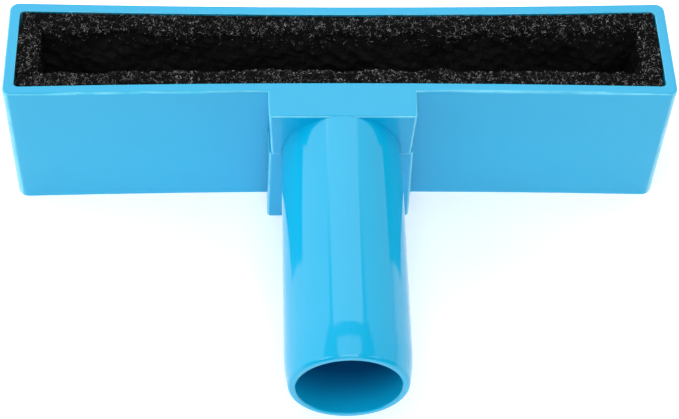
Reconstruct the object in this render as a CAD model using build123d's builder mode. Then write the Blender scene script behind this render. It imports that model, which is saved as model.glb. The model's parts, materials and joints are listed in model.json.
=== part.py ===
"""Pool wall brush head: a pile-lined trough in a moulded casing, with a socket for a telescopic pole.

Frame, in millimetres: the origin is the middle of the casing's flat back, +Z points out of the open
mouth of the trough, +X runs along the trough and the pole socket points along -Y.
"""

import os
from math import atan2, degrees, sqrt

from build123d import *

# Casing
LENGTH = 216.0  # along X, over the rim
DEPTH = 38.7  # along Y, at the two ends
HEIGHT = 55.0  # from the back to the rim
BOW = 1.5  # how far each long wall sinks inwards at mid-length
WALL = 3.5
FLARE = 0.6  # how much further out the walls stand at the back than at the rim
CORNER_R = 3.0
CAVITY_CORNER_R = 1.5
RIM_FILLET = 0.75
MOUTH_FILLET = 0.35
BACK_FILLET = 0.8

# Back cover, which snaps into a rebate in the casing's back
REBATE_WALL = 1.9  # casing wall left around the rebate
REBATE_DEPTH = 2.7
REBATE_CORNER_R = 2.0
COVER_GAP = 0.12
TAB_GAP = 0.1
TAB_THICK = 1.5
TAB_TOP = 7.0
TAB_LONG = 24.0
TAB_SHORT = 12.0
TAB_PITCH = 66.0
TAB_COUNT = 3  # along each long wall
BEAD_HEIGHT = 0.35
BEAD_LOW = 5.1
BEAD_HIGH = 6.1
GROOVE_MARGIN = 0.15
GROOVE_CORNER_R = 1.7
DRAIN_COUNT = 6
DRAIN_PITCH = 32.0
DRAIN_LENGTH = 14.0
DRAIN_WIDTH = 3.6

# Lining: tape, woven backing and pile, from the wall inwards
TAPE = 0.3
BACKING = 0.8
PILE = 5.8
LINING_LOW = 9.4
LINING_HIGH = HEIGHT - 0.9
TRIM_LOW = LINING_LOW + 1.0  # tape and backing stay inside the pile's edges
TRIM_HIGH = LINING_HIGH - 1.6
CORNER_CLEAR = 1.7  # tape and backing stop this far short of the cavity's corners
STRIP_GAP = 0.1
PILE_FILLET = 1.2
FLOOR_GAP = 0.4
FLOOR_TAPE_WIDTH = 5.0

# Pole socket: a tube on a spigot that the neck clamps
TUBE_R = 19.43
TUBE_LENGTH = 86.65  # from the neck's front face to the mouth
TUBE_PROUD = 0.08  # how far the tube's top stands above the rim
BORE_R = 16.0
BORE_DEPTH = 80.0
BORE_CHAMFER = 0.3
CROWN_LENGTH = 11.5  # the tube narrows gently over this length, up to the mouth
CROWN_R = 18.3
LIP_LENGTH = 1.0  # then it rounds over to the mouth's thin lip
LIP_R = 17.5
SPIGOT_R = 15.0
SPIGOT_BORE_R = 12.5
SPIGOT_GAP = 0.1
FLANGE_R = 16.5
FLANGE_THICK = 2.4
FLANGE_SETBACK = 3.2
KEY_WIDTH = 4.0
KEY_DROP = 1.6
SEAT_DEPTH = 0.35  # the tube's root sits this deep in the neck's front face
SEAT_GAP = 0.05

# Neck: its upper half is part of the casing, its lower half is a separate saddle
NECK_FRONT = DEPTH / 2 + 8.8
NECK_TOP_WIDTH = 47.8
NECK_SEAM_WIDTH = 46.2
NECK_DRAFT = 0.3  # how much narrower each side is at the front than at the wall
NECK_CORNER_R = 1.3
SEAM_GAP = 0.15
SADDLE_SEAM_WIDTH = 47.6
SADDLE_FOOT_WIDTH = 48.7
SADDLE_FILLET = 0.45
SADDLE_GAP = FLARE + 0.12  # between the saddle and the front wall's face at the rim

# Self-tapping screws that pull the saddle up against the casing
SCREW_X = 19.0
SCREW_SETBACK = 5.3  # behind the neck's front face
SCREW_SEAT_Z = 20.0
SCREW_LENGTH = 24.0
SCREW_R = 1.3
SCREW_TIP = 2.0
HEAD_R = 2.5
HEAD_HEIGHT = 1.9
RECESS_WIDTH = 0.8
RECESS_SPAN = 3.0
RECESS_DEPTH = 1.1
PILOT_R = 1.35
PILOT_SPARE = 1.0
CLEARANCE_R = 1.6
COUNTERBORE_R = 2.75

# Worked out from the sizes above
HALF_LENGTH = LENGTH / 2
HALF_DEPTH = DEPTH / 2
BOW_R = (HALF_LENGTH**2 + BOW**2) / (2 * BOW)
WALL_FACE_Y = -(HALF_DEPTH - BOW)  # the front wall's outer face at mid-length
AXIS_Z = HEIGHT + TUBE_PROUD - TUBE_R
ROOT_Y = -NECK_FRONT + SEAT_DEPTH
MOUTH_Y = -NECK_FRONT - TUBE_LENGTH
SPIGOT_END_Y = WALL_FACE_Y - 0.3
FLANGE_Y = -NECK_FRONT + FLANGE_SETBACK
BACKING_INSET = WALL + TAPE
PILE_INSET = BACKING_INSET + BACKING
LINING_INSET = PILE_INSET + PILE
FLOOR_INSET = WALL + TAB_GAP + TAB_THICK + FLOOR_GAP
SCREW_Y = -NECK_FRONT + SCREW_SETBACK
SCREW_TIP_Z = SCREW_SEAT_Z + SCREW_LENGTH


def wall_y(x, inset):
    """Distance from the long centre plane to a bowed long wall, moved inwards by inset."""
    return HALF_DEPTH - BOW + BOW_R - sqrt((BOW_R + inset) ** 2 - x**2)


def trough_outline(inset, corner_r):
    """Draws the casing's outline seen from above, moved inwards by inset."""
    half = HALF_LENGTH - inset
    end = wall_y(half, inset)
    middle = wall_y(0, inset)
    with BuildLine() as outline:
        ThreePointArc((-half, -end), (0, -middle), (half, -end))
        Line((half, -end), (half, end))
        ThreePointArc((half, end), (0, middle), (-half, end))
        Line((-half, end), (-half, -end))
    make_face(outline.edges())
    fillet(vertices(), corner_r)


def wall_band(near, far, x_low, x_high, side):
    """Draws a strip along a long wall between two insets. Side is -1 at the front, 1 at the rear."""
    x_middle = (x_low + x_high) / 2
    near_points = [(x, side * wall_y(x, near)) for x in (x_low, x_middle, x_high)]
    far_points = [(x, side * wall_y(x, far)) for x in (x_high, x_middle, x_low)]
    with BuildLine() as outline:
        ThreePointArc(*near_points)
        Line(near_points[-1], far_points[0])
        ThreePointArc(*far_points)
        Line(far_points[-1], near_points[0])
    make_face(outline.edges())


def neck_outline(width, back_y):
    """Draws a slice through the neck block, with its front corners rounded."""
    front_half = width / 2 - NECK_DRAFT
    with BuildLine() as outline:
        Polyline(
            (-width / 2, back_y),
            (width / 2, back_y),
            (front_half, -NECK_FRONT),
            (-front_half, -NECK_FRONT),
            close=True,
        )
    make_face(outline.edges())
    fillet(vertices().group_by(Axis.Y)[0], NECK_CORNER_R)


def cut_across_tube(radius, start_y, end_y):
    """Cuts a round hole on the tube's axis, from start_y back to end_y, in the part being built."""
    with BuildSketch(Plane.XZ.offset(-start_y)) as hole:
        with Locations((0, AXIS_Z)):
            Circle(radius)
    extrude(hole.sketch, amount=start_y - end_y, mode=Mode.SUBTRACT)


def cut_tube_seat():
    """Cuts the tube's seat, the spigot's hole and the flange's groove in half of the neck."""
    cut_across_tube(TUBE_R + SEAT_GAP, -NECK_FRONT - 1, ROOT_Y + SEAT_GAP)
    cut_across_tube(SPIGOT_R + SPIGOT_GAP, -NECK_FRONT - 1, WALL_FACE_Y)
    cut_across_tube(FLANGE_R + SPIGOT_GAP, FLANGE_Y - SPIGOT_GAP, FLANGE_Y + FLANGE_THICK + SPIGOT_GAP)


def screw_planes(z):
    """Planes at the two screws, facing down, so that holes drilled from them go up."""
    return [Plane(origin=(side * SCREW_X, SCREW_Y, z), z_dir=(0, 0, -1)) for side in (-1, 1)]


def save(piece, name):
    """Labels a finished piece and writes its STEP file."""
    piece.part.label = name
    export_step(piece.part, f"parts/{name}.step")


os.makedirs("parts", exist_ok=True)

# Casing: four walls, a rebate for the back cover and the upper half of the neck
with BuildPart() as casing:
    with BuildSketch():
        trough_outline(-FLARE, CORNER_R + FLARE)
    extrude(amount=HEIGHT, taper=degrees(atan2(FLARE, HEIGHT)))
    fillet(faces().sort_by(Axis.Z)[0].edges(), BACK_FILLET)
    for z, width in ((AXIS_Z, NECK_SEAM_WIDTH), (HEIGHT, NECK_TOP_WIDTH)):
        with BuildSketch(Plane.XY.offset(z)):
            neck_outline(width, WALL_FACE_Y + WALL / 2)
    loft(ruled=True)
    fillet(faces().sort_by(Axis.Z)[-1].edges(), RIM_FILLET)
    with BuildSketch():
        trough_outline(WALL, CAVITY_CORNER_R)
    extrude(amount=HEIGHT, mode=Mode.SUBTRACT)
    fillet(faces().sort_by(Axis.Z)[-1].inner_wires()[0].edges(), MOUTH_FILLET)
    with BuildSketch():
        trough_outline(REBATE_WALL, REBATE_CORNER_R)
    extrude(amount=REBATE_DEPTH, mode=Mode.SUBTRACT)
    with BuildSketch(Plane.XY.offset(BEAD_LOW - GROOVE_MARGIN)):
        trough_outline(WALL - BEAD_HEIGHT - GROOVE_MARGIN, GROOVE_CORNER_R)
    extrude(amount=BEAD_HIGH - BEAD_LOW + 2 * GROOVE_MARGIN, mode=Mode.SUBTRACT)
    cut_tube_seat()
    with Locations(*screw_planes(AXIS_Z)):
        Hole(PILOT_R, SCREW_TIP_Z + PILOT_SPARE - AXIS_Z)
save(casing, "casing")

# Neck saddle: the lower half of the neck, with counterbored holes for its screws
with BuildPart() as neck_saddle:
    for z, width in ((0, SADDLE_FOOT_WIDTH), (AXIS_Z - SEAM_GAP, SADDLE_SEAM_WIDTH)):
        with BuildSketch(Plane.XY.offset(z)):
            neck_outline(width, WALL_FACE_Y - SADDLE_GAP)
    loft(ruled=True)
    for end in (0, -1):
        rounded = faces().sort_by(Axis.Z)[end].edges().sort_by(Axis.Y)[:-1]  # all but the rear edge
        fillet(rounded, SADDLE_FILLET)
    cut_tube_seat()
    with BuildSketch(Plane.XZ.offset(-FLANGE_Y + SPIGOT_GAP)):
        with Locations((0, AXIS_Z)):
            Rectangle(
                KEY_WIDTH + 2 * SPIGOT_GAP,
                FLANGE_R + KEY_DROP + SPIGOT_GAP,
                align=(Align.CENTER, Align.MAX),
            )
    extrude(amount=-(FLANGE_THICK + 2 * SPIGOT_GAP), mode=Mode.SUBTRACT)
    with Locations(*screw_planes(0)):
        CounterBoreHole(CLEARANCE_R, COUNTERBORE_R, SCREW_SEAT_Z)
save(neck_saddle, "neck_saddle")

# Pole socket: a tube with a rounded mouth, and a keyed spigot at its root
with BuildPart() as pole_socket:
    with BuildSketch(Plane.YZ):
        with BuildLine():
            Polyline(
                (MOUTH_Y, AXIS_Z + BORE_R + BORE_CHAMFER),
                (MOUTH_Y + BORE_CHAMFER, AXIS_Z + BORE_R),
                (MOUTH_Y + BORE_DEPTH, AXIS_Z + BORE_R),
                (MOUTH_Y + BORE_DEPTH, AXIS_Z + SPIGOT_BORE_R),
                (SPIGOT_END_Y, AXIS_Z + SPIGOT_BORE_R),
                (SPIGOT_END_Y, AXIS_Z + SPIGOT_R),
                (FLANGE_Y + FLANGE_THICK, AXIS_Z + SPIGOT_R),
                (FLANGE_Y + FLANGE_THICK, AXIS_Z + FLANGE_R),
                (FLANGE_Y, AXIS_Z + FLANGE_R),
                (FLANGE_Y, AXIS_Z + SPIGOT_R),
                (ROOT_Y, AXIS_Z + SPIGOT_R),
                (ROOT_Y, AXIS_Z + TUBE_R),
                (MOUTH_Y + CROWN_LENGTH, AXIS_Z + TUBE_R),
            )
            crown = TangentArc(
                (MOUTH_Y + CROWN_LENGTH, AXIS_Z + TUBE_R),
                (MOUTH_Y + LIP_LENGTH, AXIS_Z + CROWN_R),
                tangent=(-1, 0),
            )
            lip = TangentArc(crown @ 1, (MOUTH_Y, AXIS_Z + LIP_R), tangent=crown % 1)
            Line(lip @ 1, (MOUTH_Y, AXIS_Z + BORE_R + BORE_CHAMFER))
        make_face()
    revolve(axis=Axis((0, 0, AXIS_Z), (0, 1, 0)))
    with BuildSketch(Plane.XZ.offset(-FLANGE_Y)):
        with Locations((0, AXIS_Z - SPIGOT_R)):
            Rectangle(KEY_WIDTH, FLANGE_R + KEY_DROP - SPIGOT_R, align=(Align.CENTER, Align.MAX))
    extrude(amount=-FLANGE_THICK)
save(pole_socket, "pole_socket")

# Saddle screws: pan heads with a cross recess
with BuildPart() as saddle_screws:
    with BuildSketch(Plane.XY.offset(SCREW_SEAT_Z)):
        with Locations((-SCREW_X, SCREW_Y), (SCREW_X, SCREW_Y)):
            Circle(HEAD_R)
    extrude(amount=-HEAD_HEIGHT)
    fillet(edges().group_by(Axis.Z)[0], HEAD_HEIGHT / 2)
    with BuildSketch(Plane.XY.offset(SCREW_SEAT_Z)):
        with Locations((-SCREW_X, SCREW_Y), (SCREW_X, SCREW_Y)):
            Circle(SCREW_R)
    extrude(amount=SCREW_LENGTH)
    chamfer(edges().group_by(Axis.Z)[-1], SCREW_TIP, SCREW_R / 2)
    with BuildSketch(Plane.XY.offset(SCREW_SEAT_Z - HEAD_HEIGHT)):
        with Locations((-SCREW_X, SCREW_Y), (SCREW_X, SCREW_Y)):
            Rectangle(RECESS_WIDTH, RECESS_SPAN)
            Rectangle(RECESS_SPAN, RECESS_WIDTH)
    extrude(amount=RECESS_DEPTH, mode=Mode.SUBTRACT)
save(saddle_screws, "saddle_screws")

# Back cover: a plate in the rebate, with snap tabs inside the walls and drain slots
LONG_TAB_X = [TAB_PITCH * (index - (TAB_COUNT - 1) / 2) for index in range(TAB_COUNT)]
with BuildPart() as back_cover:
    with BuildSketch():
        trough_outline(REBATE_WALL + COVER_GAP, REBATE_CORNER_R - COVER_GAP)
    extrude(amount=REBATE_DEPTH)
    tab_bands = (
        (WALL + TAB_GAP, WALL + TAB_GAP + TAB_THICK, REBATE_DEPTH, TAB_TOP),
        (WALL + TAB_GAP - BEAD_HEIGHT, WALL + TAB_GAP + TAB_THICK, BEAD_LOW, BEAD_HIGH),
    )
    for near, far, low, high in tab_bands:
        with BuildSketch(Plane.XY.offset(low)):
            for side in (-1, 1):
                for x in LONG_TAB_X:
                    wall_band(near, far, x - TAB_LONG / 2, x + TAB_LONG / 2, side)
                with Locations((side * (HALF_LENGTH - (near + far) / 2), 0)):
                    Rectangle(far - near, TAB_SHORT)
        extrude(amount=high - low)
    with BuildSketch():
        with GridLocations(DRAIN_PITCH, 0, DRAIN_COUNT, 1):
            SlotOverall(DRAIN_LENGTH, DRAIN_WIDTH)
    extrude(amount=REBATE_DEPTH, mode=Mode.SUBTRACT)
save(back_cover, "back_cover")


def lining_layer(name, near, far, low, high, clear, rounding=0):
    """One layer of the lining on all four walls, as four pieces called front_, rear_, left_ and right_."""
    half = HALF_LENGTH - WALL - clear
    for wall, side in (("front", -1), ("rear", 1)):
        with BuildPart() as strip:
            with BuildSketch(Plane.XY.offset(low)):
                wall_band(near, far, -half, half, side)
            extrude(amount=high - low)
            if rounding:
                fillet(faces().sort_by(Axis.Y)[0 if side > 0 else -1].edges(), rounding)
        save(strip, f"{wall}_{name}")
    end_half = wall_y(HALF_LENGTH - LINING_INSET, LINING_INSET) - STRIP_GAP
    for wall, side in (("left", -1), ("right", 1)):
        with BuildPart() as strip:
            with BuildSketch(Plane.XY.offset(low)):
                with Locations((side * (HALF_LENGTH - (near + far) / 2), 0)):
                    Rectangle(far - near, 2 * end_half)
            extrude(amount=high - low)
            if rounding:
                fillet(faces().sort_by(Axis.X)[0 if side > 0 else -1].edges(), rounding)
        save(strip, f"{wall}_{name}")


lining_layer("tape", WALL, BACKING_INSET, TRIM_LOW, TRIM_HIGH, CORNER_CLEAR)
lining_layer("backing", BACKING_INSET, PILE_INSET, TRIM_LOW, TRIM_HIGH, CORNER_CLEAR)
lining_layer("pile", PILE_INSET, LINING_INSET, LINING_LOW, LINING_HIGH, CORNER_CLEAR, PILE_FILLET)

# Floor lining: two strips of tape, clear of the drain slots, then backing and pile
FLOOR_BACKING_Z = REBATE_DEPTH + TAPE
FLOOR_PILE_Z = FLOOR_BACKING_Z + BACKING
with BuildPart() as floor_tape:
    with BuildSketch(Plane.XY.offset(REBATE_DEPTH)):
        for side in (-1, 1):
            half = HALF_LENGTH - FLOOR_INSET - STRIP_GAP
            wall_band(FLOOR_INSET, FLOOR_INSET + FLOOR_TAPE_WIDTH, -half, half, side)
    extrude(amount=TAPE)
save(floor_tape, "floor_tape")

with BuildPart() as floor_backing:
    with BuildSketch(Plane.XY.offset(FLOOR_BACKING_Z)):
        trough_outline(FLOOR_INSET, CAVITY_CORNER_R)
    extrude(amount=BACKING)
save(floor_backing, "floor_backing")

with BuildPart() as floor_pile:
    with BuildSketch(Plane.XY.offset(FLOOR_PILE_Z)):
        trough_outline(FLOOR_INSET, CAVITY_CORNER_R)
    extrude(amount=LINING_LOW - FLOOR_GAP - FLOOR_PILE_Z)
save(floor_pile, "floor_pile")
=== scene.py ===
"""Looks of the pool wall brush: glossy blue casing and socket, and a trough lined with black pile."""

import json
import math

import bpy
import numpy as np
from mathutils import Matrix, Vector


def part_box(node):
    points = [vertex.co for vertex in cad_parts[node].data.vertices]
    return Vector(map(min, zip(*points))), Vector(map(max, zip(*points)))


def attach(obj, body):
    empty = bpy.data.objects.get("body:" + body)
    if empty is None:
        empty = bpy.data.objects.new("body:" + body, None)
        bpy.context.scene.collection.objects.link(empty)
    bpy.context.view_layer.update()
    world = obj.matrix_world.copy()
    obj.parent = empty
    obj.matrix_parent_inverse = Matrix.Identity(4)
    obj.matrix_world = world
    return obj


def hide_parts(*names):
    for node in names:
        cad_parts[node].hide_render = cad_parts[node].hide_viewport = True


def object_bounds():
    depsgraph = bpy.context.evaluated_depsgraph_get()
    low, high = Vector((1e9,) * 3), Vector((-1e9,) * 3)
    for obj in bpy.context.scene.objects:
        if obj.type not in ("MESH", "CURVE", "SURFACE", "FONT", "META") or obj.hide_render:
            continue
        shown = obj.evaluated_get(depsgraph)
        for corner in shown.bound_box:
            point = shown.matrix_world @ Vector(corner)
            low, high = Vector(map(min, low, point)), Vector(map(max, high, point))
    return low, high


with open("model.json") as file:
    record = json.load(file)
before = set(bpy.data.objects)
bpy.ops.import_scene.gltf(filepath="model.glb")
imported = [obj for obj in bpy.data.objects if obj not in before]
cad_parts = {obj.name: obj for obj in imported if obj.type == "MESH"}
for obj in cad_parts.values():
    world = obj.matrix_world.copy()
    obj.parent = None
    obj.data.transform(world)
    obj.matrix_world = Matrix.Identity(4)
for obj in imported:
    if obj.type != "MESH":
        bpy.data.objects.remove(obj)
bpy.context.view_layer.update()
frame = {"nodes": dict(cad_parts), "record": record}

MM = 0.001

# Camera: angles in radians, distance and target in metres, lens and sensor in millimetres
CAMERA_AZIMUTH = math.radians(-4.21)
CAMERA_ELEVATION = math.radians(55.19)
CAMERA_ROLL = math.radians(3.29)
CAMERA_DISTANCE = 0.5877
CAMERA_TARGET = Vector((-0.00073, -0.04433, 0.0271))
CAMERA_LENS = 96.46
SENSOR_WIDTH = 36.0

# Plastic: colours, a painted edge highlight, and the painted shade that darkens the bore deep inside
SHELL_COLOUR = (0.003, 0.450, 0.775)
SHELL_DEEP = (0.002, 0.437, 0.757)
# painted highlight colour for the shell's rounded edges
SHELL_EDGE_HIGHLIGHT = (0.17, 0.74, 0.98)
SHELL_ROUGHNESS = 0.08
SOCKET_COLOUR = (0.003, 0.465, 0.795)
SOCKET_DEEP = (0.002, 0.452, 0.777)
SOCKET_ROUGHNESS = 0.09
SOCKET_MOUNT = next(mount for mount in frame["record"]["mounts"] if mount["name"] == "pole_socket_bore")
BORE_RADIUS = SOCKET_MOUNT["dims"]["r_mm"] * MM
BORE_SHADE_FADE = 15 * MM  # the bore's painted shade is full this far in from the mouth
# scales on green and blue that darken the bore's colour into painted shade
BORE_SHADE_GREEN = 0.31
BORE_SHADE_BLUE = 0.46
PLASTIC_IOR = 1.5
HIGHLIGHT_START = 0.95  # a normal's largest part where the painted highlight on a rounded edge begins
HIGHLIGHT_FULL = 0.84  # and where the painted highlight is full

# Trough and lining
WALL_BOW = 1.5 * MM  # how far each long wall sinks inwards at mid-length
LUMP_HEIGHT = 0.95 * MM
TOP_ROUNDING = 1.8 * MM
OVERHANG = 1.05 * MM  # the pile's top spreads this far over its backing, up to the casing's wall
OVERHANG_DEPTH = 1.5 * MM
SLIMMER = 0.7 * MM  # the combed pile is this much thinner than the space it may fill
WALL_RISE = 0.30 * MM  # the mat rises this much where it meets the casing's wall
WALL_RISE_WIDTH = 2.5 * MM
PINNED_WIDTH = 1.5 * MM  # the lumps fade out over this distance from the wall
FINE_HEIGHT = 0.15 * MM
TOP_CALM = 0.55  # the lumps on top are this much lower than on the face
TOP_POINTS = 16  # grid points across the top, round the shoulder and down the face
SHOULDER_POINTS = 9
FACE_POINTS = 70
GLINT_LOW = 43.0 * MM  # painted glints on the fibres begin above this height, and are strongest above the next one
GLINT_HIGH = 52.5 * MM

# Curls
CURL_RADIUS = 0.055 * MM
CURL_HEIGHT = 0.75 * MM
CURL_STEPS = 9
CURL_SIDES = 3
CURL_TAPER = 0.45
CURL_DEPTH = 0.3 * MM  # how far each curl's root is sunk in the mat
TOP_CURLS_LONG = 2.6  # curls on each square millimetre, twice over on the long walls
TOP_CURLS_END = 5.2
FACE_CURLS_LONG = 0.42
FACE_CURLS_END = 1.0
FACE_CROWDING = 2.2
FLOOR_CURLS = 3000

# Studio: the sky's level, its gain along each axis and its lowest and highest level
WORLD_LEVEL = 0.13
WORLD_GAINS = (("X", -0.12), ("Y", 0.20), ("Z", 0.10))
WORLD_LOWEST = 0.06
WORLD_HIGHEST = 3.0
FLOOR_HALF = 3.0
FLOOR_GLOW = 0.36
LAMP_TARGET = (0, -0.03, 0.05)

# Lamps as name, place, size in metres and radiance
LAMPS = (
    ("back_softbox", (-0.01, 0.66, 0.98), (1.00, 0.40), 1.62),
    ("left_back_softbox", (-0.98, 0.66, 0.50), (1.62, 1.30), 1.12),
    ("right_back_softbox", (0.98, 0.66, 0.58), (1.62, 1.15), 0.72),
    ("front_softbox", (0.0, -0.58, 1.06), (0.62, 0.76), 3.1),
    ("front_low_softbox", (0.0, -1.14, 0.42), (0.70, 0.80), 1.0),
    ("top_softbox", (0.0, 0.06, 1.25), (0.90, 0.52), 1.25),
    ("front_left_softbox", (-0.78, -0.42, 0.80), (0.42, 0.50), 3.5),
    ("front_right_softbox", (0.78, -0.42, 0.80), (0.42, 0.50), 1.6),
)


# ---------------------------------------------------------------- materials


def new_material(name):
    """A material with a lone Principled shader, and the shader."""
    material = bpy.data.materials.new(name)
    material.use_nodes = True
    return material, material.node_tree.nodes["Principled BSDF"]


def add_node(material, kind, **settings):
    """A new node in the material. Settings are attributes, or inputs by name where the node has them."""
    node = material.node_tree.nodes.new(kind)
    for key, value in settings.items():
        if key in node.inputs:
            node.inputs[key].default_value = value
        else:
            setattr(node, key, value)
    return node


def link(material, source, target):
    """Joins two sockets."""
    material.node_tree.links.new(source, target)


def noise(material, scale, detail=4.0, roughness=0.55, stretch=(1, 1, 1)):
    """A noise texture's factor, in object coordinates."""
    place = add_node(material, "ShaderNodeTexCoord")
    mapping = add_node(material, "ShaderNodeMapping")
    mapping.inputs["Scale"].default_value = stretch
    texture = add_node(material, "ShaderNodeTexNoise", Scale=scale, Detail=detail, Roughness=roughness)
    link(material, place.outputs["Object"], mapping.inputs["Vector"])
    link(material, mapping.outputs["Vector"], texture.inputs["Vector"])
    return texture.outputs["Fac"]


def remap(material, value, low, high, to_low, to_high):
    """Maps a value from one range to another, clamped."""
    node = add_node(material, "ShaderNodeMapRange")
    node.inputs["From Min"].default_value = low
    node.inputs["From Max"].default_value = high
    node.inputs["To Min"].default_value = to_low
    node.inputs["To Max"].default_value = to_high
    link(material, value, node.inputs["Value"])
    return node.outputs["Result"]


def multiply(material, first, second):
    """The product of two values."""
    node = add_node(material, "ShaderNodeMath", operation="MULTIPLY")
    link(material, first, node.inputs[0])
    link(material, second, node.inputs[1])
    return node.outputs[0]


def mix_colours(material, factor, colour_a, colour_b):
    """A mix of two colours, each a tuple or a socket."""
    node = add_node(material, "ShaderNodeMix", data_type="RGBA")
    link(material, factor, node.inputs[0])
    for socket, colour in ((node.inputs[6], colour_a), (node.inputs[7], colour_b)):
        if isinstance(colour, tuple):
            socket.default_value = (*colour, 1)
        else:
            link(material, colour, socket)
    return node.outputs[2]


def bump(material, shader, height, strength, distance):
    """Adds a bump to the shader's normal."""
    node = add_node(material, "ShaderNodeBump", Strength=strength, Distance=distance)
    link(material, height, node.inputs["Height"])
    link(material, node.outputs["Normal"], shader.inputs["Normal"])


def rounded_edges(material):
    """A factor that is 1 on a rounded edge between two square faces, and 0 on the faces."""
    geometry = add_node(material, "ShaderNodeNewGeometry")
    positive = add_node(material, "ShaderNodeVectorMath", operation="ABSOLUTE")
    link(material, geometry.outputs["Normal"], positive.inputs[0])
    split = add_node(material, "ShaderNodeSeparateXYZ")
    link(material, positive.outputs["Vector"], split.inputs["Vector"])
    larger = add_node(material, "ShaderNodeMath", operation="MAXIMUM")
    link(material, split.outputs["X"], larger.inputs[0])
    link(material, split.outputs["Y"], larger.inputs[1])
    largest = add_node(material, "ShaderNodeMath", operation="MAXIMUM")
    link(material, larger.outputs[0], largest.inputs[0])
    link(material, split.outputs["Z"], largest.inputs[1])
    return remap(material, largest.outputs[0], HIGHLIGHT_START, HIGHLIGHT_FULL, 0, 1)


def plastic(name, colour, deep, roughness, edge=None, bore=None):
    """Glossy moulded plastic: faint flow clouds in the colour and fine scuffs in the gloss.

    An edge colour is a painted highlight on the rounded edges, stronger in some places
    than in others. A bore, as (axis z, radius, mouth y), gets painted shade: its colour is darker deep
    inside.
    """
    material, shader = new_material(name)
    clouds = noise(material, 45.0, 3.0)
    body = mix_colours(material, remap(material, clouds, 0.3, 0.7, 0, 1), colour, deep)
    # painted highlight on the rounded edges, uneven in strength
    if edge:
        highlight_strength = remap(material, noise(material, 90.0, 3.0), 0.35, 0.60, 0.45, 1)
        body = mix_colours(material, multiply(material, rounded_edges(material), highlight_strength), body, edge)
    # painted shade: the colour deep in the bore is darker
    if bore:
        axis_z, radius, mouth_y = bore
        place = add_node(material, "ShaderNodeTexCoord")
        split = add_node(material, "ShaderNodeSeparateXYZ")
        link(material, place.outputs["Object"], split.inputs["Vector"])
        height = add_node(material, "ShaderNodeMath", operation="SUBTRACT")
        link(material, split.outputs["Z"], height.inputs[0])
        height.inputs[1].default_value = axis_z
        across = multiply(material, split.outputs["X"], split.outputs["X"])
        upward = multiply(material, height.outputs[0], height.outputs[0])
        square = add_node(material, "ShaderNodeMath", operation="ADD")
        link(material, across, square.inputs[0])
        link(material, upward, square.inputs[1])
        inside = remap(material, square.outputs[0], (radius + 0.2 * MM) ** 2, (radius + 0.1 * MM) ** 2, 0, 1)
        depth = remap(material, split.outputs["Y"], mouth_y, mouth_y + BORE_SHADE_FADE, 0, 1)
        painted_bore_shade = (colour[0], BORE_SHADE_GREEN * colour[1], BORE_SHADE_BLUE * colour[2])
        body = mix_colours(material, multiply(material, inside, depth), body, painted_bore_shade)
    link(material, body, shader.inputs["Base Color"])
    scuffs = noise(material, 700.0, 6.0, 0.7, (1, 0.4, 1))
    gloss = remap(material, scuffs, 0.45, 0.85, roughness, roughness + 0.10)
    link(material, gloss, shader.inputs["Roughness"])
    bump(material, shader, noise(material, 60.0, 2.0), 0.02, 0.2 * MM)
    shader.inputs["IOR"].default_value = PLASTIC_IOR
    return material


def pile_fibre():
    """Curled black fibre. Near the mouth of the trough, some lengths of it are painted pale as glints, a
    painted highlight that fades out lower down.
    """
    material, shader = new_material("pile_fibre")
    geometry = add_node(material, "ShaderNodeNewGeometry")
    chosen = remap(material, geometry.outputs["Random Per Island"], 0.79, 0.95, 0, 1)
    lengths = remap(material, noise(material, 2300.0, 1.0), 0.47, 0.57, 0.0, 1)
    place = add_node(material, "ShaderNodeTexCoord")
    split = add_node(material, "ShaderNodeSeparateXYZ")
    link(material, place.outputs["Object"], split.inputs["Vector"])
    shallow = remap(material, split.outputs["Z"], GLINT_LOW, GLINT_HIGH, 0.02, 1)
    # painted glints: pale lengths on some fibres, fading out lower in the trough
    painted_glints = multiply(material, multiply(material, chosen, lengths), shallow)
    fibre_and_glints = mix_colours(material, painted_glints, (0.004, 0.004, 0.005), (0.92, 0.90, 0.90))
    link(material, fibre_and_glints, shader.inputs["Base Color"])
    shader.inputs["Roughness"].default_value = 0.45
    shader.inputs["Specular IOR Level"].default_value = 0.12
    return material


def weave():
    """Coarse woven backing: warp and weft threads with a worn, mottled black dye."""
    material, shader = new_material("backing_weave")
    threads = []
    for axis in ("X", "Z"):
        place = add_node(material, "ShaderNodeTexCoord")
        wave = add_node(material, "ShaderNodeTexWave", bands_direction=axis, Scale=420.0, Distortion=0.6)
        link(material, place.outputs["Object"], wave.inputs["Vector"])
        threads.append(wave.outputs["Fac"])
    crossed = multiply(material, *threads)
    mottle = remap(material, noise(material, 260.0, 4.0), 0.3, 0.7, 0.4, 1)
    shade = multiply(material, remap(material, crossed, 0, 1, 0.25, 1), mottle)
    dye = mix_colours(material, shade, (0.006, 0.006, 0.007), (0.045, 0.045, 0.050))
    link(material, dye, shader.inputs["Base Color"])
    shader.inputs["Roughness"].default_value = 0.9
    bump(material, shader, crossed, 0.7, 0.3 * MM)
    return material


def adhesive():
    """Double-sided tape: cream, faintly blotched where it has wetted out, with fine fibres."""
    material, shader = new_material("adhesive_tape")
    blotch = noise(material, 120.0, 4.0)
    fibres = noise(material, 900.0, 3.0, 0.6, (1, 1, 6))
    wetted = remap(material, blotch, 0.35, 0.65, 0, 1)
    body = mix_colours(material, wetted, (0.66, 0.62, 0.50), (0.74, 0.71, 0.61))
    strands = remap(material, fibres, 0.55, 0.8, 0, 0.5)
    link(material, mix_colours(material, strands, body, (0.5, 0.47, 0.38)), shader.inputs["Base Color"])
    link(material, remap(material, blotch, 0.3, 0.7, 0.45, 0.7), shader.inputs["Roughness"])
    bump(material, shader, fibres, 0.3, 0.1 * MM)
    return material


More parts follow.
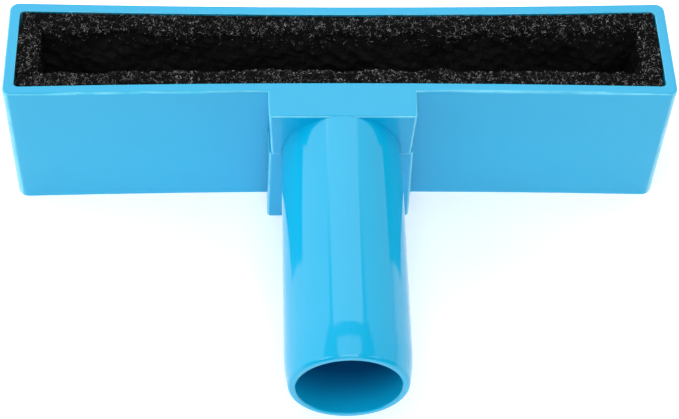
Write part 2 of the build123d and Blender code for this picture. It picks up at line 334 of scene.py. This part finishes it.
def zinc():
    """Zinc-plated screw steel: bright, with turning marks and dull patches."""
    material, shader = new_material("screw_steel")
    turning = noise(material, 600.0, 3.0, 0.6, (1, 1, 8))
    patches = noise(material, 350.0, 4.0)
    dulled = remap(material, patches, 0.35, 0.7, 0, 1)
    plating = mix_colours(material, dulled, (0.62, 0.63, 0.65), (0.47, 0.47, 0.46))
    link(material, plating, shader.inputs["Base Color"])
    shader.inputs["Metallic"].default_value = 1.0
    link(material, remap(material, turning, 0.3, 0.7, 0.22, 0.42), shader.inputs["Roughness"])
    bump(material, shader, turning, 0.25, 0.1 * MM)
    return material


def pile_base():
    """The dark mat that the curls stand on."""
    material, shader = new_material("pile_base")
    tufts = noise(material, 1400.0, 5.0, 0.7)
    raised = remap(material, tufts, 0.45, 0.8, 0, 1)
    black = mix_colours(material, raised, (0.009, 0.009, 0.010), (0.030, 0.029, 0.030))
    link(material, black, shader.inputs["Base Color"])
    shader.inputs["Roughness"].default_value = 0.9
    shader.inputs["Specular IOR Level"].default_value = 0.1
    bump(material, shader, tufts, 0.8, 0.3 * MM)
    return material


# ---------------------------------------------------------------- pile


def waves(count, wavelength, seed):
    """A smooth random field over a plane, between about -1 and 1, as a function of two arrays."""
    draw = np.random.default_rng(seed)
    angle = draw.uniform(0, 2 * np.pi, count)
    turn = 2 * np.pi / (wavelength * draw.uniform(0.6, 1.6, count))
    phase = draw.uniform(0, 2 * np.pi, count)

    def field(a, b):
        total = np.zeros(np.broadcast(a, b).shape)
        for k in range(count):
            total += np.sin(turn[k] * (a * np.cos(angle[k]) + b * np.sin(angle[k])) + phase[k])
        return total / math.sqrt(count)

    return field


def mesh_object(name, points, faces, material, smooth=True):
    """A mesh object from an array of points and a list of faces."""
    mesh = bpy.data.meshes.new(name)
    mesh.from_pydata(points.tolist(), [], faces)
    mesh.polygons.foreach_set("use_smooth", [smooth] * len(mesh.polygons))
    mesh.materials.append(material)
    mesh.update()
    thing = bpy.data.objects.new(name, mesh)
    bpy.context.collection.objects.link(thing)
    return thing


class Strip:
    """One wall's pile: a grid of surface points, along the wall and round the pile's section."""

    def __init__(self, wall_line, inward, thickness, z_low, z_high, seed):
        """Takes n points on the backing's face, and at each one the direction into the trough."""
        along = np.concatenate([[0], np.cumsum(np.linalg.norm(np.diff(wall_line, axis=0), axis=1))])
        r = TOP_ROUNDING
        arc = np.linspace(0, np.pi / 2, SHOULDER_POINTS)
        flat = TOP_POINTS - 1
        across = np.concatenate([
            np.linspace(-OVERHANG, thickness - r, TOP_POINTS)[:-1],
            thickness - r + r * np.sin(arc),
            np.full(FACE_POINTS, thickness),
        ])
        height = np.concatenate([
            np.full(flat, z_high),
            z_high - r + r * np.cos(arc),
            np.linspace(z_high - r, z_low, FACE_POINTS + 1)[1:],
        ])
        out_across = np.concatenate([np.zeros(flat), np.sin(arc), np.ones(FACE_POINTS)])
        out_height = np.concatenate([np.ones(flat), np.cos(arc), np.zeros(FACE_POINTS)])
        path = np.concatenate([[0], np.cumsum(np.hypot(np.diff(across), np.diff(height)))])
        a, p = np.meshgrid(along, path, indexing="ij")
        lump = 0.62 * waves(14, 17 * MM, seed)(a, p) + 0.38 * waves(20, 4.5 * MM, seed + 1)(a, p)
        fine = waves(24, 1.5 * MM, seed + 2)(a, p)
        height = height + WALL_RISE * np.clip(1 - (across + OVERHANG) / WALL_RISE_WIDTH, 0, 1)
        pinned = np.clip((across + OVERHANG) / PINNED_WIDTH, 0, 1)[None, :]
        lift = (LUMP_HEIGHT * lump + FINE_HEIGHT * fine) * pinned
        lift = np.where(out_height[None, :] > 0.5, lift * TOP_CALM, lift)
        self.points = np.empty((len(along), len(path), 3))
        reach = across[None, :] + lift * out_across[None, :]
        self.points[:, :, :2] = wall_line[:, None, :] + inward[:, None, :] * reach[:, :, None]
        self.points[:, :, 2] = height[None, :] + lift * out_height[None, :]
        du = np.gradient(self.points, axis=0)
        dv = np.gradient(self.points, axis=1)
        normal = np.cross(du, dv)
        normal /= np.linalg.norm(normal, axis=2, keepdims=True) + 1e-12
        middle = normal[len(along) // 2, len(path) // 2]
        if middle[:2] @ inward[len(along) // 2] < 0:
            normal = -normal
        self.normals = normal
        self.along = along
        self.path = path
        self.top_length = path[flat + SHOULDER_POINTS - 1]

    def core(self, name, material, wall_line):
        """The closed mat under the curls."""
        rows = self.points.shape[0]
        sunk = self.points - self.normals * 0.25 * MM
        low = np.full((rows, 1), sunk[:, -1, 2].mean())
        shelf = np.full((rows, 1), self.points[0, 20, 2] - OVERHANG_DEPTH)
        corners = [np.concatenate([wall_line, low], axis=1), np.concatenate([wall_line, shelf], axis=1)]
        corners.append(np.concatenate([sunk[:, 0, :2], shelf], axis=1))
        ring = np.concatenate([sunk, np.stack(corners, axis=1)], axis=1)
        count = ring.shape[1]
        points = ring.reshape(-1, 3)
        i, j = np.meshgrid(np.arange(rows - 1), np.arange(count), indexing="ij")
        k = (j + 1) % count
        faces = np.stack([i * count + j, i * count + k, (i + 1) * count + k, (i + 1) * count + j], axis=-1)
        faces = faces.reshape(-1, 4).tolist()
        faces.append(list(range(count))[::-1])
        faces.append([(rows - 1) * count + m for m in range(count)])
        thing = mesh_object(name, points, faces, material)
        thing.data.validate()
        return thing

    def sample(self, count, v_low, v_high, draw, crowding=1.0):
        """Random surface points and normals from path length v_low to v_high, crowded towards v_low."""
        u = draw.uniform(self.along[0], self.along[-1], count)
        v = v_low + (v_high - v_low) * draw.uniform(0, 1, count) ** crowding
        i = np.clip(np.searchsorted(self.along, u) - 1, 0, len(self.along) - 2)
        j = np.clip(np.searchsorted(self.path, v) - 1, 0, len(self.path) - 2)
        fu = ((u - self.along[i]) / (self.along[i + 1] - self.along[i]))[:, None]
        fv = ((v - self.path[j]) / (self.path[j + 1] - self.path[j]))[:, None]

        def blend(grid):
            low = grid[i, j] * (1 - fu) + grid[i + 1, j] * fu
            high = grid[i, j + 1] * (1 - fu) + grid[i + 1, j + 1] * fu
            return low * (1 - fv) + high * fv

        normals = blend(self.normals)
        return blend(self.points), normals / np.linalg.norm(normals, axis=1, keepdims=True)


def curls(name, roots, normals, material, draw):
    """A mesh of curled fibres, one at each root: looping tubes of three sides, closed at both ends."""
    count, steps, sides = len(roots), CURL_STEPS, CURL_SIDES
    side = draw.normal(size=(count, 3))
    along = np.cross(normals, side)
    along /= np.linalg.norm(along, axis=1, keepdims=True)
    across = np.cross(normals, along)
    t = np.linspace(0, 1, steps)[None, :]
    travel = draw.uniform(0.4, 2.0, (count, 1)) * MM
    loop = draw.uniform(0.16, 0.46, (count, 1)) * MM
    turns = draw.uniform(0.5, 1.7, (count, 1)) * 2 * np.pi * draw.choice([-1, 1], (count, 1))
    phase = draw.uniform(0, 2 * np.pi, (count, 1))
    rise = CURL_HEIGHT * draw.uniform(0.35, 1.0, (count, 1))
    a = travel * (t - 0.5) + loop * np.cos(turns * t + phase)
    b = loop * np.sin(turns * t + phase)
    c = rise * (0.25 + 0.75 * np.sin(np.pi * np.clip(t * 1.1, 0, 1))) + 0.35 * loop * np.sin(turns * t)
    line = (
        roots[:, None, :]
        + along[:, None, :] * a[:, :, None]
        + across[:, None, :] * b[:, :, None]
        + normals[:, None, :] * (c - CURL_DEPTH)[:, :, None]
    )
    tangent = np.gradient(line, axis=1)
    tangent /= np.linalg.norm(tangent, axis=2, keepdims=True) + 1e-12
    guide = normals[:, None, :] + 0.15 * side[:, None, :]
    first = np.cross(tangent, guide)
    first /= np.linalg.norm(first, axis=2, keepdims=True) + 1e-12
    second = np.cross(tangent, first)
    taper = np.ones(steps)
    taper[0] = taper[-1] = CURL_TAPER
    rings = []
    for corner in range(sides):
        angle = 2 * np.pi * corner / sides
        offset = first * math.cos(angle) + second * math.sin(angle)
        rings.append(line + offset * (CURL_RADIUS * taper)[None, :, None])
    points = np.stack(rings, axis=2).reshape(-1, 3)
    ring = np.arange(count)[:, None, None] * steps * sides + np.arange(steps - 1)[None, :, None] * sides
    corner = np.arange(sides)[None, None, :]
    after = (corner + 1) % sides
    quads = [ring + corner, ring + after, ring + sides + after, ring + sides + corner]
    quads = np.stack(quads, axis=-1).reshape(-1, 4)
    first_corner = (np.arange(count) * steps * sides)[:, None]
    last_corner = first_corner + (steps - 1) * sides
    ends = np.concatenate([first_corner + np.array([[2, 1, 0]]), last_corner + np.array([[0, 1, 2]])])
    return fibre_mesh(name, points, quads, ends, material)


def fibre_mesh(name, points, quads, triangles, material):
    """A mesh object made straight from arrays of quads and triangles."""
    mesh = bpy.data.meshes.new(name)
    mesh.vertices.add(len(points))
    mesh.vertices.foreach_set("co", points.astype(np.float32).ravel())
    corners = np.concatenate([quads.ravel(), triangles.ravel()]).astype(np.int32)
    sizes = np.concatenate([np.full(len(quads), 4), np.full(len(triangles), 3)])
    starts = np.concatenate([[0], np.cumsum(sizes)[:-1]]).astype(np.int32)
    mesh.loops.add(len(corners))
    mesh.loops.foreach_set("vertex_index", corners)
    mesh.polygons.add(len(sizes))
    mesh.polygons.foreach_set("loop_start", starts)
    mesh.polygons.foreach_set("use_smooth", [True] * len(sizes))
    mesh.materials.append(material)
    mesh.update(calc_edges=True)
    thing = bpy.data.objects.new(name, mesh)
    bpy.context.collection.objects.link(thing)
    return thing


def corners_of(node):
    """A CAD node's lowest and highest corners."""
    low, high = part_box(node)
    return Vector(low), Vector(high)


def long_wall_line(node, side):
    """The backing's face behind a long strip, and the way into the trough, at points along X."""
    low, high = corners_of(node)
    half = high.x
    x = np.linspace(low.x - OVERHANG, high.x + OVERHANG, 500)
    end = max(abs(low.y), abs(high.y))
    y = side * (end - WALL_BOW * (1 - (x / half) ** 2))
    inward = np.tile([0.0, -side], (len(x), 1))
    return np.stack([x, y], axis=1), inward


def end_wall_line(node, side):
    """The backing's face behind an end strip, and the way into the trough, at points along Y."""
    low, high = corners_of(node)
    x = high.x if side > 0 else low.x
    y = np.linspace(low.y - SLIMMER, high.y + SLIMMER, 50)
    inward = np.tile([-side, 0.0], (len(y), 1))
    return np.stack([np.full(len(y), x), y], axis=1), inward


def build_pile(base, fibre):
    """Replaces each wall's CAD pile by a lumpy mat and its curls."""
    walls = (
        ("front_pile", -1, long_wall_line),
        ("rear_pile", 1, long_wall_line),
        ("left_pile", -1, end_wall_line),
        ("right_pile", 1, end_wall_line),
    )
    end_low, end_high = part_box("left_pile")
    thickness = end_high[0] - end_low[0] - SLIMMER
    for index, (node, side, line_of) in enumerate(walls):
        low, high = corners_of(node)
        line, inward = line_of(node, side)
        is_long = line_of is long_wall_line
        strip = Strip(line, inward, thickness, low.z, high.z, 100 * index)
        mat = strip.core(f"{node}_mat", base, line)
        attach(mat, "root")
        draw = np.random.default_rng(500 + index)
        length = strip.along[-1]
        pieces = []
        top_area = length * strip.top_length / MM**2
        count = int(top_area * (TOP_CURLS_LONG if is_long else TOP_CURLS_END))
        for part in range(2 if is_long else 1):
            roots, normals = strip.sample(count, 0.2 * MM, strip.top_length, draw)
            pieces.append(curls(f"{node}_top_curls_{part + 1}", roots, normals, fibre, draw))
        face_area = length * (strip.path[-1] - strip.top_length) / MM**2
        count = int(face_area * (FACE_CURLS_LONG if is_long else FACE_CURLS_END))
        roots, normals = strip.sample(count, strip.top_length, strip.path[-1], draw, FACE_CROWDING)
        pieces.append(curls(f"{node}_face_curls", roots, normals, fibre, draw))
        for piece in pieces:
            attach(piece, "root")
        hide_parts(node)


def build_floor_pile(base, fibre):
    """Replaces the floor's CAD pile by a lumpy mat and its curls."""
    low, high = corners_of("floor_pile")
    x = np.linspace(low.x, high.x, 260)
    across = np.linspace(-1, 1, 24)
    half_y = high.y - WALL_BOW * (1 - (x / high.x) ** 2)
    grid = np.empty((len(x), len(across), 3))
    grid[:, :, 0] = x[:, None]
    grid[:, :, 1] = half_y[:, None] * across[None, :]
    lump = waves(20, 9 * MM, 901)(grid[:, :, 0], grid[:, :, 1])
    edge = np.minimum(1 - np.abs(across)[None, :], (1 - np.abs(x / high.x))[:, None] * 8)
    grid[:, :, 2] = high.z - 0.4 * MM + 0.35 * MM * lump - 0.8 * MM * np.clip(1 - edge / 0.15, 0, 1) ** 2
    rows, columns = grid.shape[:2]
    under = grid.copy()
    under[:, :, 2] = low.z
    points = np.concatenate([grid.reshape(-1, 3), under.reshape(-1, 3)])
    i, j = np.meshgrid(np.arange(rows - 1), np.arange(columns - 1), indexing="ij")
    corner = (i * columns + j).ravel()
    top = np.stack([corner, corner + columns, corner + columns + 1, corner + 1], axis=1)
    faces = [*top.tolist(), *(top[:, ::-1] + rows * columns).tolist()]
    border = [m * columns for m in range(rows)]
    border += [(rows - 1) * columns + m for m in range(1, columns)]
    border += [m * columns + columns - 1 for m in range(rows - 2, -1, -1)]
    border += list(range(columns - 2, 0, -1))
    for here, after in zip(border, border[1:] + border[:1]):
        faces.append([here, here + rows * columns, after + rows * columns, after])
    mat = mesh_object("floor_pile_mat", points, faces, base)
    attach(mat, "root")
    draw = np.random.default_rng(900)
    count = FLOOR_CURLS
    a = draw.integers(1, rows - 1, count)
    b = draw.integers(1, columns - 1, count)
    roots = grid[a, b] + draw.uniform(-0.4, 0.4, (count, 3)) * MM * np.array([1, 1, 0])
    normals = np.tile([0.0, 0.0, 1.0], (count, 1))
    piece = curls("floor_pile_curls", roots, normals, fibre, draw)
    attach(piece, "root")
    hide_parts("floor_pile")


# ---------------------------------------------------------------- stage


def area_light(name, place, size, radiance):
    """A soft rectangular lamp at a place, turned to the object."""
    data = bpy.data.lights.new(name, "AREA")
    data.shape = "RECTANGLE"
    data.size, data.size_y = size
    data.energy = radiance * math.pi * size[0] * size[1]
    lamp = bpy.data.objects.new(name, data)
    lamp.location = place
    lamp.rotation_euler = (Vector(LAMP_TARGET) - Vector(place)).to_track_quat("-Z", "Y").to_euler()
    bpy.context.collection.objects.link(lamp)


def build_stage():
    """A pale floor, a grey sky that is brighter behind the object, and soft lamps."""
    low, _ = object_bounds()
    material, shader = new_material("floor_paper")
    fine = noise(material, 220.0, 4.0)
    paper = mix_colours(material, fine, (0.93, 0.93, 0.93), (0.96, 0.96, 0.96))
    link(material, paper, shader.inputs["Base Color"])
    shader.inputs["Roughness"].default_value = 0.9
    shader.inputs["Specular IOR Level"].default_value = 0.1
    shader.inputs["Emission Color"].default_value = (1, 1, 1, 1)
    shader.inputs["Emission Strength"].default_value = FLOOR_GLOW
    signs = ((-1, -1), (1, -1), (1, 1), (-1, 1))
    corners = np.array([(x * FLOOR_HALF, y * FLOOR_HALF, low.z) for x, y in signs])
    floor = mesh_object("floor", corners, [[0, 1, 2, 3]], material, smooth=False)

    world = bpy.data.worlds.new("studio")
    bpy.context.scene.world = world
    world.use_nodes = True
    background = world.node_tree.nodes["Background"]
    background.inputs["Color"].default_value = (1, 1, 1, 1)
    direction = add_node(world, "ShaderNodeTexCoord")
    split = add_node(world, "ShaderNodeSeparateXYZ")
    link(world, direction.outputs["Generated"], split.inputs["Vector"])
    total = None
    for axis, gain in WORLD_GAINS:
        term = add_node(world, "ShaderNodeMath", operation="MULTIPLY_ADD")
        link(world, split.outputs[axis], term.inputs[0])
        term.inputs[1].default_value = gain
        if total is None:
            term.inputs[2].default_value = WORLD_LEVEL
        else:
            link(world, total, term.inputs[2])
        total = term.outputs[0]
    level = remap(world, total, WORLD_LOWEST, WORLD_HIGHEST, WORLD_LOWEST, WORLD_HIGHEST)
    link(world, level, background.inputs["Strength"])

    for lamp in LAMPS:
        area_light(*lamp)


def build_camera():
    """The camera, on a sphere round its target, rolled about its own axis."""
    data = bpy.data.cameras.new("camera")
    data.lens = CAMERA_LENS
    data.sensor_width = SENSOR_WIDTH
    data.clip_start = 0.01
    camera = bpy.data.objects.new("camera", data)
    level = math.cos(CAMERA_ELEVATION)
    back = Vector((
        math.sin(CAMERA_AZIMUTH) * level,
        -math.cos(CAMERA_AZIMUTH) * level,
        math.sin(CAMERA_ELEVATION),
    ))
    right = (-back).cross(Vector((0, 0, 1))).normalized()
    up = right.cross(-back)
    turned_right = right * math.cos(CAMERA_ROLL) + up * math.sin(CAMERA_ROLL)
    turned_up = up * math.cos(CAMERA_ROLL) - right * math.sin(CAMERA_ROLL)
    turn = Matrix((turned_right, turned_up, back)).transposed().to_4x4()
    camera.matrix_world = Matrix.Translation(CAMERA_TARGET + back * CAMERA_DISTANCE) @ turn
    bpy.context.collection.objects.link(camera)
    bpy.context.scene.camera = camera


def paint(node, material):
    """Gives a CAD node's mesh one material."""
    for place in frame["nodes"][node].material_slots:
        place.material = material


build_camera()
build_stage()
bpy.context.scene.view_settings.view_transform = "Standard"

# the shell's rounded edges carry a painted highlight
shell = plastic("shell_plastic_gloss", SHELL_COLOUR, SHELL_DEEP, SHELL_ROUGHNESS, edge=SHELL_EDGE_HIGHLIGHT)
socket_low, socket_high = corners_of("pole_socket")
# the socket's bore carries painted shade deep inside
bore = ((socket_low.z + socket_high.z) / 2, BORE_RADIUS, socket_low.y)
tube = plastic("socket_plastic_gloss", SOCKET_COLOUR, SOCKET_DEEP, SOCKET_ROUGHNESS, bore=bore)
for node in ("casing", "neck_saddle", "back_cover"):
    paint(node, shell)
paint("pole_socket", tube)

backing, tape, steel = weave(), adhesive(), zinc()
for wall in ("front", "rear", "left", "right", "floor"):
    paint(f"{wall}_backing", backing)
    paint(f"{wall}_tape", tape)
paint("saddle_screws", steel)

base, fibre = pile_base(), pile_fibre()
build_pile(base, fibre)
build_floor_pile(base, fibre)
